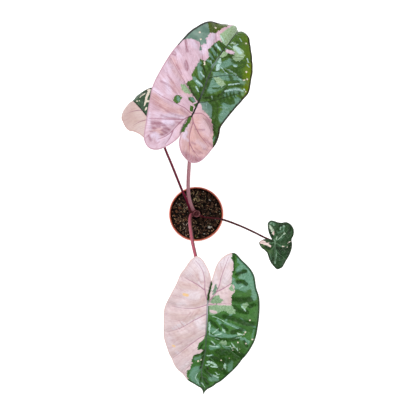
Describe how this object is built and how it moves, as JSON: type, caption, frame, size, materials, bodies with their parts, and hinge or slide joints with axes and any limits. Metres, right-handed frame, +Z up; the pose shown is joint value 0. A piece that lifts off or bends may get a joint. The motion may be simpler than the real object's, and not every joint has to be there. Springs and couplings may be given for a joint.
{
  "type": "potted variegated alocasia",
  "caption": "Potted aroid house plant: arrow-shaped leaves, half pink and half green, each on a long curved stalk from a short stem in a round nursery pot filled with soil.",
  "frame": {"origin": "centre of the pot's flat base, on the surface the pot stands on", "axes": "+Z up out of the pot; +Y towards the tallest leaf; +X towards the smallest leaf"},
  "size_m": [0.3443, 0.7027, 0.4252],
  "materials": {
    "pot_plastic": "satin",
    "soil_mix": "matte",
    "leaf_pink": "satin",
    "leaf_green": "satin",
    "stalk_pink": "satin",
    "stalk_red": "satin"
  },
  "bodies": {
    "root": {"pot": "pot_plastic", "soil": "soil_mix", "stem": "stalk_red", "petiole_north": "stalk_pink", "blade_north": "leaf_pink", "petiole_south": "stalk_pink", "blade_south": "leaf_pink", "petiole_west": "stalk_red", "blade_west": "leaf_pink", "petiole_east": "stalk_red", "blade_east": "leaf_green"}
  },
  "joints": []
}
